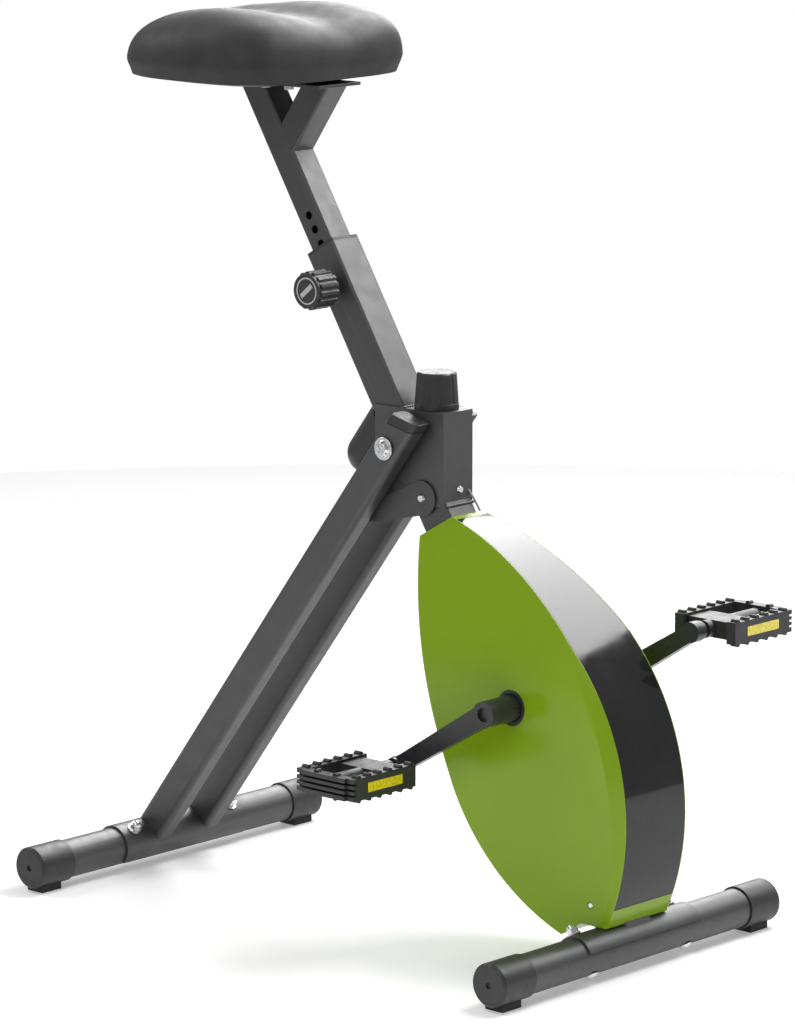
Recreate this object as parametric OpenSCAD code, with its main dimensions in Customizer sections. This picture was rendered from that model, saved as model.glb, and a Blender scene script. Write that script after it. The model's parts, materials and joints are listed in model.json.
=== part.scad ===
// Folding desk exercise bike: saddle on a leaning square spine, hinged rear legs,
// belt driven flywheel inside a lens shaped two-half shell.
// Millimetres. +X is forward, +Y is the rider's left, +Z is up. The floor is z = 0.
// The origin is the middle of the footprint box, on the floor.

/* [Show] */
// Which sub-part to draw, or all of them

/* [Placement] */
// Distance from the origin to the front foot axis
front_x = 384.6; // [300:0.1:450]
// Distance between the two foot tube axes
wheelbase = 795; // [780:1:810]
// Height of the foot tube axes above the floor
foot_z = 33; // [32:0.5:36]

/* [Foot tubes] */
// Outer diameter of both foot tubes
foot_d = 50; // [49:0.5:51]
// Overall length of a foot over its end caps
foot_len = 528; // [500:1:560]
// Wall of the foot tubes
foot_wall = 2; // [1.5:0.1:3]
// Outer radius of the end caps
cap_r = 27.4; // [27:0.1:28]
// Length of an end cap along the tube
cap_len = 58; // [50:1:64]
// Half spacing of the carriage bolts at the front foot
front_bolt_y = 90; // [86:1:96]
// Half spacing of the carriage bolts at the rear foot
rear_bolt_y = 90; // [86:1:96]

/* [Spine] */
// Lean of the spine and seat mast from vertical, degrees
spine_lean = 31.5; // [30.5:0.1:32.5]
// Outer side of the square spine tube
spine_w = 50; // [49.6:0.1:50.4]
// Wall of the spine tube
spine_wall = 2; // [1.5:0.1:2.5]
// Distance along the spine from the front foot axis to the mast top
mast_s = 954; // [940:1:970]
// Distance along the spine from the front foot axis to the leg pivot
pivot_s = 680; // [676:1:684]

/* [Head box] */
// Distance from the front foot axis back to the face of the head box
head_face = 286; // [283:1:289]
// Depth of the head box from front to rear
head_depth = 116; // [112:1:120]
// Underside height of the head box
head_z0 = 543; // [540:1:546]
// Top height of the head box
head_z1 = 660; // [657:1:663]
// Half width of the head box
head_hw = 27; // [26.6:0.1:27.6]

/* [Rear legs] */
// Depth of a leg tube seen from the side
leg_w = 44; // [42:0.5:45]
// Thickness of a leg tube across the bike
leg_t = 30; // [28:0.5:30]
// Distance of each leg's middle from the centre plane
leg_y = 45; // [45:0.5:48]
// Corner radius of the leg tubes
leg_r = 8; // [6:0.5:9]
// Radius of the rounded end of the lock ears
ear_r = 22; // [18:0.5:23]

/* [Seat] */
// Outer side of the square seat post
post_w = 38; // [37.6:0.1:38]
// Pitch of the height holes
hole_pitch = 20; // [20:1:22]
// Height of the fork's top, where the seat plate lies
fork_z = 1050; // [1046:1:1054]
// Lean of the front fork brace from vertical, degrees
brace_lean = 35; // [33:0.5:37]
// Half width of the saddle
saddle_hw = 158; // [150:1:162]
// Thickness of the saddle cushion
saddle_t = 88; // [78:1:92]

/* [Cranks and pedals] */
// Crank length, axle to pedal spindle
crank_len = 170; // [165:1:172]
// Angle of the right crank below horizontal, pointing back
crank_angle = 31.5; // [28:0.5:35]
// Distance from the centre plane to the middle of a pedal
pedal_y = 190; // [188:1:194]
// Length of a pedal body across the bike
pedal_len = 116; // [112:1:118]
// Depth of a pedal body front to rear
pedal_w = 96; // [90:1:100]
// Thickness of a pedal body without its teeth
pedal_t = 28; // [26:1:30]

/* [Drive] */
// Radius of the large drive pulley
pulley_r = 100; // [96:1:104]
// Radius of the small flywheel pulley
small_r = 20; // [19:0.5:21]
// Radius of the flywheel
fly_r = 88; // [84:1:89]
// Thickness of the flywheel rim
fly_t = 18; // [16:1:19]

/* [Shell] */
// Greatest half width of the shell
shell_hw = 66; // [65:0.5:68]
// Wall of the shell halves
shell_wall = 3; // [2.5:0.1:3.5]
// Half width of the front trim strip
trim_hw = 56; // [54:0.5:56]

/* [Hidden] */
$fn = 64;
e = 0.01;
run = 0.05;
gap = 0.3;
pivot_x = -pivot_s * sin(spine_lean);
pivot_z = foot_z + pivot_s * cos(spine_lean);
leg_lean = atan2(pivot_x + wheelbase, pivot_z - foot_z);
leg_s = norm([pivot_x + wheelbase, pivot_z - foot_z]);
foot_r = foot_d / 2;
tube_len = foot_len - 8;
plate_t = 3;
weld_s = foot_r + plate_t;
axle_x = -140;
axle_z = 316;
fly_s = 155;
fly_x = -fly_s * sin(spine_lean);
fly_z = foot_z + fly_s * cos(spine_lean);
pin_s = 901;
post_s0 = 815;
leg_in = leg_y - leg_t / 2;
leg_out = leg_y + leg_t / 2;
belt_y = 37;
fly_y = 40;
arm_y = 117;
ear_x = -320;
ear_z = 550;
bumper_n = -52;
bumper_r = 27;
pad_w = 28;
pad_len = 34;
pad_in = 44;
brace_x = -513.5;
// discs that shape each half of the saddle: x, inset of the centre from the edge, radius
seat_discs = [[-704, 74, 60], [-605, 60, 60], [-532, 53, 46]];
// domes that shape its crown: x, distance from the centre plane, radius, drop of the top
seat_domes = [[-700, 86, 54, 7], [-622, 92, 58, 0], [-542, 98, 44, 2]];

// ---- placement helpers ----

module place() {
  translate([front_x, 0, 0]) children();
}

// s runs up the spine from the front foot axis, n runs towards its front face
module on_spine(s = 0, n = 0) {
  translate([0, 0, foot_z])
    rotate([0, -spine_lean, 0])
      translate([n, 0, s]) children();
}

// s runs up the legs from the rear foot axis, n runs towards their front face
module on_leg(s = 0, n = 0) {
  translate([-wheelbase, 0, foot_z])
    rotate([0, leg_lean, 0])
      translate([n, 0, s]) children();
}

module bar_y(r, y0, y1) {
  translate([0, y1, 0]) rotate([90, 0, 0]) cylinder(r = r, h = y1 - y0);
}

module cone_y(r0, r1, y0, y1) {
  translate([0, y0, 0]) rotate([-90, 0, 0]) cylinder(r1 = r0, r2 = r1, h = y1 - y0);
}

module both_sides() {
  children();
  mirror([0, 1, 0]) children();
}

module round_rect(w, h, r) {
  square([w - 2 * r, h], center = true);
  square([w, h - 2 * r], center = true);
  for (i = [-1, 1], j = [-1, 1])
    translate([i * (w / 2 - r), j * (h / 2 - r)]) circle(r);
}

module box_tube(w, h, r, wall, s0, s1) {
  translate([0, 0, s0])
    linear_extrude(s1 - s0)
      difference() {
        round_rect(w, h, r);
        round_rect(w - 2 * wall, h - 2 * wall, max(r - wall, 0.5));
      }
}

module box_solid(w, h, r, s0, s1) {
  translate([0, 0, s0]) linear_extrude(s1 - s0) round_rect(w, h, r);
}

// ---- front frame ----

module spine_tube() {
  color([0.16, 0.16, 0.17]) place() {
    difference() {
      on_spine() box_tube(spine_w, spine_w, 4, spine_wall, 8, mast_s);
      // fish mouth over the saddle plate
      translate([0, 0, foot_z]) bar_y(weld_s + 0.05, -60, 60);
      translate([axle_x, 0, axle_z]) bar_y(21, -40, 40);
      translate([fly_x, 0, fly_z]) bar_y(17, -40, 40);
      translate([pivot_x, 0, pivot_z]) bar_y(9, -40, 40);
      on_spine(pin_s) bar_y(8, -40, 0);
    }
    // bottom bracket shell, welded through the spine's front face
    translate([axle_x, 0, axle_z]) difference() {
      bar_y(21, -30, 30);
      bar_y(17.5, -31, 31);
    }
    // flywheel cross sleeve, welded through the spine
    translate([fly_x, 0, fly_z]) difference() {
      bar_y(17, -26, 26);
      bar_y(14, -27, 27);
    }
    // pin boss on the mast's right side
    on_spine(pin_s) difference() {
      bar_y(11, -32, -spine_w / 2 + spine_wall);
      bar_y(5 + run, -33, 0);
    }
  }
}

module head_box() {
  color([0.16, 0.16, 0.17]) place() difference() {
    translate([-head_face - head_depth, -head_hw, head_z0])
      cube([head_depth, 2 * head_hw, head_z1 - head_z0]);
    // hollow front part
    translate([-head_face - 60, -head_hw + 2.5, head_z0 + 3])
      cube([57.5, 2 * head_hw - 5, head_z1 - head_z0 - 6]);
    // the spine passes through
    on_spine(pivot_s - 120) translate([-spine_w / 2, -spine_w / 2, 0])
      cube([spine_w, spine_w, 260]);
    // hollow rear part
    translate([-head_face - head_depth + 2.5, -spine_w / 2, head_z0 + 3])
      cube([head_depth - 5, spine_w, head_z1 - head_z0 - 6]);
    translate([pivot_x, 0, pivot_z]) bar_y(9, -40, 40);
    // knob shaft and cable outlets
    translate([-322, 0, head_z1 - 10]) cylinder(r = 4 + run, h = 20);
    strut([-295, 19.5, 570.5], [-278, 23.8, 544.5], 2.1);
    translate([-head_face - 10, 3, 561]) rotate([0, 90, 0]) cylinder(r = 2.55, h = 20);
  }
}

module mast_bush() {
  color([0.07, 0.07, 0.07]) place() on_spine() difference() {
    union() {
      box_solid(46, 46, 2, mast_s - 62, mast_s);
      box_solid(spine_w, spine_w, 4, mast_s, mast_s + 4);
    }
    box_solid(post_w + 2 * gap, post_w + 2 * gap, 3, mast_s - 63, mast_s + 5);
    translate([0, 0, pin_s]) bar_y(6, -30, 0);
  }
}

// moulded stop housing on the rear of the head, lying along the opened legs
module rear_bumper() {
  color([0.10, 0.10, 0.10]) place() difference() {
    on_leg(leg_s, bumper_n) {
      translate([0, 0, -68]) cylinder(r = bumper_r, h = 118);
      translate([0, 0, -68]) sphere(bumper_r);
    }
    on_spine(pivot_s - 150) translate([-spine_w / 2, -100, 0]) cube([220, 200, 320]);
    translate([-head_face - head_depth, -100, head_z0 - 40]) cube([300, 200, 157]);
    on_leg(leg_s - 56, -leg_w / 2 - 5.3) bar_y(5, -60, 60);
  }
}

module stop_rod() {
  color([0.55, 0.55, 0.57]) place()
    on_leg(leg_s - 56, -leg_w / 2 - 5.3) bar_y(5, -leg_in - 8, leg_in + 8);
}

module pivot_sleeve() {
  color([0.5, 0.5, 0.52]) place() translate([pivot_x, 0, pivot_z]) difference() {
    bar_y(9, -leg_in + 0.5, leg_in - 0.5);
    bar_y(5.1, -leg_in, leg_in);
  }
}

module pivot_bolt() {
  color([0.72, 0.73, 0.75]) place() translate([pivot_x, 0, pivot_z]) {
    difference() {
      union() {
        bar_y(5, -leg_out - 3, leg_out + 12);
        bar_y(14.5, -leg_out - 3.5, -leg_out - 1);
        cone_y(8, 10.5, -leg_out - 8, -leg_out - 3.5);
      }
      for (a = [45, 135])
        rotate([0, a, 0]) translate([-6, -leg_out - 9, -1]) cube([12, 4, 2]);
    }
    bar_y(14.5, leg_out + 1, leg_out + 3.5);
    rotate([90, 0, 0]) translate([0, 0, -leg_out - 11])
      cylinder(r = 9.5, h = 7.5, $fn = 6);
  }
}

module head_screw() {
  color([0.72, 0.73, 0.75]) place()
    translate([-head_face, 3, 561]) rotate([0, 90, 0]) {
      cylinder(r1 = 5, r2 = 3.6, h = 3);
      translate([0, 0, -7]) cylinder(r = 2.5, h = 7 + e);
    }
}

module foot_tube_at(x) {
  translate([x, 0, foot_z]) difference() {
    bar_y(foot_r, -tube_len / 2, tube_len / 2);
    bar_y(foot_r - foot_wall, -tube_len, tube_len);
  }
}

module front_foot_tube() {
  color([0.17, 0.17, 0.18]) place() difference() {
    foot_tube_at(0);
    for (s = [-1, 1])
      translate([0, s * front_bolt_y, 0]) on_spine(-60) cylinder(r = 4.2, h = 120);
  }
}

module rear_foot_tube() {
  color([0.17, 0.17, 0.18]) place() difference() {
    foot_tube_at(-wheelbase);
    for (s = [-1, 1])
      translate([0, s * rear_bolt_y, 0]) on_leg(-60) cylinder(r = 4.2, h = 120);
  }
}

// saddle plate: a half sleeve that hugs the tube where the frame is welded on
module saddle_plate(half_len, bolt_y) {
  difference() {
    bar_y(weld_s, -half_len, half_len);
    bar_y(foot_r + 0.05, -half_len - 1, half_len + 1);
    translate([-50, -half_len - 1, -50]) cube([100, 2 * half_len + 2, 46]);
    for (s = [-1, 1]) translate([0, s * bolt_y, 0]) cylinder(r = 4.2, h = 60);
  }
}

module front_saddle_plate() {
  color([0.12, 0.12, 0.13]) place() on_spine() saddle_plate(106, front_bolt_y);
}

module rear_saddle_plate() {
  color([0.12, 0.12, 0.13]) place() on_leg() saddle_plate(112, rear_bolt_y);
}

// an end cap: sleeve over the tube, chamfered face with a small screw recess
module end_cap() {
  y0 = foot_len / 2;
  difference() {
    union() {
      bar_y(cap_r, y0 - cap_len, y0 - 3);
      cone_y(cap_r, cap_r - 3, y0 - 3, y0);
    }
    bar_y(foot_r + 0.05, y0 - cap_len - 1, y0 - 4);
    bar_y(4, y0 - 3, y0 + 1);
    // seat for the pad
    translate([-25, y0 - pad_in - 0.2, -40])
      cube([50, pad_len + 0.4, 40 - foot_r - 0.5]);
  }
}

module foot_pad() {
  y0 = foot_len / 2 - pad_in;
  difference() {
    translate([-pad_w / 2, y0, -foot_z]) cube([pad_w, pad_len, foot_z - 14]);
    bar_y(cap_r, y0 - 10, y0 + 50);
  }
  translate([-pad_w / 2, y0, -foot_r - 2.8]) cube([pad_w, pad_len, 2.2]);
}

module front_end_caps() {
  color([0.11, 0.11, 0.11]) place() translate([0, 0, foot_z]) both_sides() end_cap();
}

module rear_end_caps() {
  color([0.11, 0.11, 0.11]) place()
    translate([-wheelbase, 0, foot_z]) both_sides() end_cap();
}

module front_foot_pads() {
  color([0.07, 0.07, 0.07]) place() translate([0, 0, foot_z]) both_sides() foot_pad();
}

module rear_foot_pads() {
  color([0.07, 0.07, 0.07]) place()
    translate([-wheelbase, 0, foot_z]) both_sides() foot_pad();
}

// domed bolt under the tube, threaded end standing out of the plate
module carriage_bolt() {
  translate([0, 0, -foot_r]) intersection() {
    translate([0, 0, 7.4]) sphere(12);
    translate([-10, -10, -5]) cube([20, 20, 5]);
  }
  translate([0, 0, -foot_r + e]) cylinder(r = 4, h = 2 * foot_r + 14);
}

module acorn_nut() {
  translate([0, 0, weld_s]) difference() {
    union() {
      cylinder(r = 9, h = 1.6);
      translate([0, 0, 1.6]) cylinder(r = 7.5, h = 6.5, $fn = 6);
      translate([0, 0, 8]) intersection() {
        sphere(6);
        translate([-7, -7, 0]) cube([14, 14, 7]);
      }
    }
    translate([0, 0, -1]) cylinder(r = 4.05, h = 12.2);
  }
}

module front_carriage_bolts() {
  color([0.75, 0.76, 0.78]) place()
    for (s = [-1, 1]) translate([0, s * front_bolt_y, 0]) on_spine() carriage_bolt();
}

module front_acorn_nuts() {
  color([0.75, 0.76, 0.78]) place()
    for (s = [-1, 1]) translate([0, s * front_bolt_y, 0]) on_spine() acorn_nut();
}

module rear_carriage_bolts() {
  color([0.75, 0.76, 0.78]) place()
    for (s = [-1, 1]) translate([0, s * rear_bolt_y, 0]) on_leg() carriage_bolt();
}

module rear_acorn_nuts() {
  color([0.75, 0.76, 0.78]) place()
    for (s = [-1, 1]) translate([0, s * rear_bolt_y, 0]) on_leg() acorn_nut();
}

// ---- shell ----

// everything above a line through (x, z) that rises at angle a
module half_space(x, z, a) {
  translate([x, 0, z]) rotate([0, -a, 0]) translate([-900, -100, 0]) cube([1800, 200, 900]);
}

module shouldered(r, i) {
  both_sides() {
    bar_y(r - i, -1, shell_hw - 9 - i);
    cone_y(r - i, r - i - 22, shell_hw - 9 - i, shell_hw + 2 - i);
  }
}

// front outline: two arcs that meet in a common tangent
module front_lens(i) {
  translate([-264, 0, 190]) shouldered(302, i);
  intersection() {
    translate([-393, 0, 71.5]) shouldered(477.2, i);
    half_space(-264, 190, 42.57);
  }
}

module front_plain(i) {
  translate([-264, 0, 190]) bar_y(302 - i, -80, 80);
  intersection() {
    translate([-393, 0, 71.5]) bar_y(477.2 - i, -80, 80);
    half_space(-264, 190, 42.57);
  }
}

// rear outline: two arcs that meet in a common tangent
module rear_lens(i) {
  translate([39, 0, 325]) bar_y(301 - i, -80, 80);
  intersection() {
    translate([780, 0, 635]) bar_y(1104.2 - i, -80, 80);
    half_space(39, 325, 22.7);
  }
}

module bar_x(r, x0, x1) {
  translate([x0, 0, 0]) rotate([0, 90, 0]) cylinder(r = r, h = x1 - x0);
}

// swelling seen from the front: narrow at the top, fullest near the cranks
module front_view(i) {
  swelling(swell_high, i);
  intersection() {
    swelling(swell_low, i);
    translate([-420, -100, -20]) cube([540, 200, 20 + widest_z]);
  }
}

// two arcs of radius r, one for each side, that stand apart by the shell's width
module swelling(r, i) {
  intersection_for (s = [-1, 1])
    translate([0, s * (shell_hw - r), widest_z]) bar_x(r - i, -420, 120);
}

// level of the greatest width, and the radii of the swelling above and below it
widest_z = 280;
swell_high = 889;
swell_low = 3400;
// underside height, end along the spine, notch over the foot tube, facets of the arcs
shell_z0 = 62;
shell_top = 567;
notch_s = 40.4;
arc_fn = 360;

// shell screws as [x, z]: one shows on the right half, four on the left
right_screws = [[-14, 88]];
left_screws = [[-14, 88], [-262, 452], [-212, 190], [-40, 330]];
screw_head_r = 3.9;
screw_sink = 1.2;

function spine_pt(s, n) = [
  -s * sin(spine_lean) + n * cos(spine_lean),
  foot_z + s * cos(spine_lean) + n * sin(spine_lean)
];

// where the notch over the foot tube meets the flat bottom
function notch_x(i) =
  spine_pt(notch_s + i, (shell_z0 + i - spine_pt(notch_s + i, 0)[1]) / sin(spine_lean))[0];

// the shell's outer form, or the same form inset by i
module shell_body(i) {
  intersection() {
    front_lens(i, $fn = arc_fn);
    rear_lens(i, $fn = arc_fn);
    front_view(i, $fn = arc_fn);
    xz_slab(-80, 80) polygon([
      [notch_x(i), shell_z0 + i], [220, shell_z0 + i],
      spine_pt(shell_top - i, 500), spine_pt(shell_top - i, -500),
      spine_pt(notch_s + i, -300)
    ]);
  }
}

module trim_zone(depth, play) {
  difference() {
    intersection() {
      shell_body(0);
      translate([-420, -trim_hw - play, 86 - play]) cube([600, 2 * (trim_hw + play), 500]);
      on_spine(-50) translate([-50, -100, 0]) cube([600, 200, 611 + play]);
    }
    front_plain(depth, $fn = arc_fn);
    translate([-700, -100, -50]) cube([420, 200, 700]);
  }
}

// the left half of the shell with screws at the listed points
module shell_half(screws) {
  place() difference() {
    intersection() {
      shell_body(0);
      translate([-450, 0, -10]) cube([600, 100, 700]);
    }
    shell_body(shell_wall);
    trim_zone(2, 0.15);
    translate([axle_x, 0, axle_z]) bar_y(22.5, -90, 90);
    on_spine(-20) translate([-25.4, -25.4, 0]) cube([50.8, 50.8, 700]);
    // cable entry in the top
    translate([-273, 27, 530]) rotate([0, -spine_lean, 0])
      cylinder(r = 2.2, h = 24, center = true);
    for (p = screws) translate([p[0], 0, p[1]]) {
      bar_y(2 + run, 40, 90);
      bar_y(screw_head_r + 1.1, half_width(p[1]) - screw_sink, 90);
    }
  }
}

module shell_right() {
  color([0.45, 0.57, 0.13]) mirror([0, 1, 0]) shell_half(right_screws);
}

module shell_left() {
  color([0.45, 0.57, 0.13]) shell_half(left_screws);
}

module front_trim() {
  color([0.03, 0.03, 0.03]) place() trim_zone(1.9, 0);
}

// half width of the shell's side at height z
function half_width(z) =
  let (r = z > widest_z ? swell_high : swell_low)
    shell_hw - r + sqrt(r * r - (z - widest_z) * (z - widest_z));

module screw_row(screws) {
  for (p = screws) {
    seat = half_width(p[1]) - screw_sink + 0.1;
    translate([p[0], 0, p[1]]) {
      bar_y(2, seat - 8, seat + e);
      cone_y(screw_head_r, screw_head_r - 0.9, seat, seat + 1.5);
    }
  }
}

module shell_screws() {
  color([0.45, 0.46, 0.48]) place() {
    screw_row(left_screws);
    mirror([0, 1, 0]) screw_row(right_screws);
  }
}

module hub_rings() {
  color([0.05, 0.05, 0.05]) place() translate([axle_x, 0, axle_z]) both_sides()
    difference() {
      bar_y(22.4, shell_hw - 4, shell_hw - 1);
      bar_y(17.6, shell_hw - 5, shell_hw);
    }
}

// ---- drive ----

module ring_bearing(ro, ri, y0, y1) {
  difference() {
    bar_y(ro, y0, y1);
    bar_y(ri, y0 - 1, y1 + 1);
  }
}

module crank_bearings() {
  color([0.6, 0.6, 0.62]) place() translate([axle_x, 0, axle_z]) both_sides()
    ring_bearing(17.45, 8 + run, 17, 29);
}

module flywheel_bearings() {
  color([0.6, 0.6, 0.62]) place() translate([fly_x, 0, fly_z]) both_sides()
    ring_bearing(13.95, 7 + run, 14, 25);
}

module crank_axle() {
  color([0.5, 0.5, 0.52]) place() translate([axle_x, 0, axle_z]) {
    bar_y(8, -104, 104);
    bar_y(12, -16.5, 16.5);
  }
}

module xz_slab(y0, y1) {
  translate([0, y1, 0]) rotate([90, 0, 0]) linear_extrude(y1 - y0) children();
}

// d = 1 points the arm forward and up, d = -1 back and down
module crank_arm(d) {
  difference() {
    union() {
      bar_y(16.5, 60, arm_y);
      xz_slab(arm_y - 14, arm_y - 0.5) rotate(crank_angle) {
        translate([d * crank_len, 0]) circle(13);
        polygon([
          [d * 4, 13.5], [d * crank_len, 10.5], [d * crank_len, -10.5], [d * 4, -13.5]
        ]);
      }
    }
    bar_y(8.02, 50, 104);
    bar_y(9, arm_y - 5, arm_y + 1);
    translate([d * crank_len * cos(crank_angle), 0, d * crank_len * sin(crank_angle)])
      bar_y(7.02, arm_y - 15, arm_y + 1);
  }
}

module crank_arm_left() {
  color([0.10, 0.10, 0.11]) place() translate([axle_x, 0, axle_z]) crank_arm(1);
}

module crank_arm_right() {
  color([0.10, 0.10, 0.11]) place() translate([axle_x, 0, axle_z])
    mirror([0, 1, 0]) crank_arm(-1);
}

module drive_pulley() {
  color([0.14, 0.14, 0.15]) place() translate([axle_x, 0, axle_z]) difference() {
    union() {
      bar_y(pulley_r, -belt_y - 5, -belt_y + 5);
      bar_y(20, -60, -belt_y + 5);
    }
    difference() {
      bar_y(pulley_r - 10, -belt_y - 6, -belt_y - 2);
      bar_y(24, -60, 0);
    }
    for (a = [0:60:300])
      rotate([0, a, 0]) translate([58, 0, 0]) bar_y(18, -60, 0);
    bar_y(8.02, -70, 0);
  }
}

module at_pedal(d) {
  translate([axle_x + d * crank_len * cos(crank_angle), 0,
             axle_z + d * crank_len * sin(crank_angle)]) children();
}

module pedal_spindles() {
  color([0.62, 0.62, 0.64]) place()
    for (d = [-1, 1]) at_pedal(d) scale([1, d, 1]) {
      bar_y(7, arm_y - 14, arm_y);
      bar_y(12, arm_y, arm_y + 5);
      bar_y(6, arm_y + 5 - e, pedal_y + pedal_len / 2 - 8);
    }
}

// drawn for the left side, spindle along +Y through the origin
module pedal() {
  y0 = pedal_y - pedal_len / 2;
  y1 = pedal_y + pedal_len / 2;
  hx = pedal_w / 2;
  hz = pedal_t / 2;
  difference() {
    union() {
      translate([-hx, y0, -hz]) cube([14, pedal_len - 10, pedal_t]);
      translate([hx - 14, y0, -hz]) cube([14, pedal_len - 10, pedal_t]);
      translate([-hx, y1 - 14, -hz]) cube([pedal_w, 10, pedal_t]);
      translate([-hx + 12, y1 - 6, -hz]) cube([pedal_w - 24, 6, pedal_t]);
      translate([-hx + 5, y0 + 8, -hz + 3]) cube([pedal_w - 10, 42, pedal_t - 6]);
      bar_y(11, y0 - 3, y1 - 4);
      for (i = [-1, 1], j = [-1, 1], k = [0:5])
        translate([i * (hx - 6), y0 + 7 + k * (pedal_len - 22) / 5, j * hz])
          rotate([0, 90, 0]) cylinder(r = 3.4, h = 10, center = true);
      for (j = [-1, 1], k = [-1, 1])
        translate([k * 16, y1 - 8, j * hz]) bar_y(3.4, -4, 4);
    }
    bar_y(6 + run, y0 - 10, y1 - 7);
    for (z = [-7, 0, 7])
      translate([-hx - 1, y1 - 9, z - 1.4]) cube([pedal_w + 2, 12, 2.8]);
    for (i = [-1, 1])
      translate([i * (hx - 0.4) - 1.1, y0 + 24, -6.1]) cube([2.2, 62.2, 12.2]);
  }
}

module reflector_pair() {
  hx = pedal_w / 2;
  y0 = pedal_y - pedal_len / 2;
  for (i = [-1, 1])
    translate([i * (hx - 0.6) - 0.9, y0 + 24.1, -6]) cube([1.8, 62, 12]);
}

module pedal_left() {
  color([0.06, 0.06, 0.06]) place() at_pedal(1) pedal();
}

module pedal_right() {
  color([0.06, 0.06, 0.06]) place() at_pedal(-1) mirror([0, 1, 0]) pedal();
}

module reflectors_left() {
  color([0.95, 0.8, 0.08]) place() at_pedal(1) reflector_pair();
}

module reflectors_right() {
  color([0.95, 0.8, 0.08]) place() at_pedal(-1) mirror([0, 1, 0]) reflector_pair();
}

module flywheel() {
  color([0.45, 0.45, 0.47]) place() translate([fly_x, 0, fly_z]) difference() {
    bar_y(fly_r, fly_y - fly_t / 2, fly_y + fly_t / 2);
    difference() {
      bar_y(fly_r - 22, fly_y + 3, fly_y + 20);
      bar_y(20, 0, 80);
    }
    bar_y(7.02, 0, 80);
  }
}

module flywheel_shaft() {
  color([0.5, 0.5, 0.52]) place() translate([fly_x, 0, fly_z]) {
    bar_y(7, -48, 54);
    bar_y(10, -13.5, 13.5);
  }
}

module small_pulley() {
  color([0.14, 0.14, 0.15]) place() translate([fly_x, 0, fly_z]) difference() {
    bar_y(small_r, -belt_y - 5, -belt_y + 6);
    bar_y(7.02, -60, 0);
  }
}

// closed belt loop around both pulleys, running clear of them
module drive_belt() {
  dx = fly_x - axle_x;
  dz = fly_z - axle_z;
  dist = norm([dx, dz]);
  t = acos((pulley_r - small_r) / dist);
  run_l = dist * sin(t);
  color([0.05, 0.05, 0.05]) place() translate([axle_x, 0, axle_z])
    xz_slab(-belt_y - 4.5, -belt_y + 4.5) rotate(atan2(dz, dx)) {
      belt_arc(pulley_r + gap, t - 1.2, 361.2 - t);
      translate([dist, 0]) belt_arc(small_r + gap, -t - 2, t + 2);
      for (m = [0, 1]) mirror([0, m]) rotate(t)
        translate([pulley_r + gap + 0.1, -run_l - 0.7]) square([2.3, run_l + 3]);
    }
}

// band of belt from angle a0 to a1
module belt_arc(r, a0, a1) {
  big = 2 * r + 40;
  mid = (a0 + a1) / 2;
  difference() {
    circle(r + 2.5);
    circle(r);
    if (a1 - a0 < 180) polygon([
      [0, 0], [big * cos(a1), big * sin(a1)], [big * cos(a1 + 60), big * sin(a1 + 60)],
      [big * cos(mid + 180), big * sin(mid + 180)],
      [big * cos(a0 - 60), big * sin(a0 - 60)], [big * cos(a0), big * sin(a0)]
    ]);
    else polygon([
      [0, 0], [big * cos(a1), big * sin(a1)],
      [big * cos(mid + 180), big * sin(mid + 180)], [big * cos(a0), big * sin(a0)]
    ]);
  }
}

mag_x = fly_x + 98 * cos(190);
mag_z = fly_z + 98 * sin(190);

module magnet_plate() {
  color([0.3, 0.3, 0.31]) place() {
    xz_slab(spine_w / 2, spine_w / 2 + 3) {
      translate([mag_x, mag_z]) circle(11);
      polygon([
        [mag_x - 4, mag_z - 10], [fly_x - 18, fly_z + 14],
        [fly_x - 22, fly_z + 45], [fly_x - 48, fly_z + 45], [mag_x - 8, mag_z + 8]
      ]);
    }
    translate([mag_x, 0, mag_z]) bar_y(4, spine_w / 2 + 2, 52);
  }
}

module magnet_bracket() {
  color([0.3, 0.3, 0.31]) place() difference() {
    union() {
      translate([fly_x, 0, fly_z]) xz_slab(fly_y - 10, fly_y + 10)
        intersection() {
          difference() {
            circle(99);
            circle(95);
          }
          polygon([
            [0, 0], [160 * cos(95), 160 * sin(95)], [220 * cos(140), 220 * sin(140)],
            [160 * cos(188), 160 * sin(188)]
          ]);
        }
      translate([mag_x, 0, mag_z]) bar_y(8, fly_y - 10, fly_y + 10);
    }
    translate([mag_x, 0, mag_z]) bar_y(4 + run, 0, 60);
  }
}

module magnets() {
  color([0.6, 0.6, 0.62]) place() translate([fly_x, 0, fly_z])
    for (a = [106, 126, 146, 166])
      rotate([0, -a, 0]) translate([91.2, fly_y - 9, -6]) cube([3.5, 18, 12]);
}

module strut(p, q, r) {
  v = q - p;
  l = norm(v);
  translate(p) rotate([0, acos(v[2] / l), atan2(v[1], v[0])]) cylinder(r = r, h = l);
}

// bowden cable from the tension knob to the magnet bracket
module tension_cable() {
  path = [
    [-292, 20, 574], [-292, 20, 566], [-286, 21, 557], [-281, 23, 549],
    [-277, 25.5, 540], [-273.5, 27.2, 532], [-266, 27.3, 518], [-255, 27.3, 494],
    [-205, 27.3, 366.5], [-185, 29, 320], [-165, 31, 290]
  ];
  color([0.45, 0.46, 0.47]) place() {
    for (i = [0:len(path) - 2]) strut(path[i], path[i + 1], 1.3);
    for (i = [1:len(path) - 2]) translate(path[i]) sphere(1.5, $fn = 24);
  }
}

// ---- knobs and pins ----

module fluted(r, h, depth, count) {
  difference() {
    cylinder(r = r, h = h);
    for (a = [0:360 / count:359])
      rotate(a) translate([r + 3.5 - depth, 0, -1]) cylinder(r = 3.5, h = h + 2);
  }
}

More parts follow.
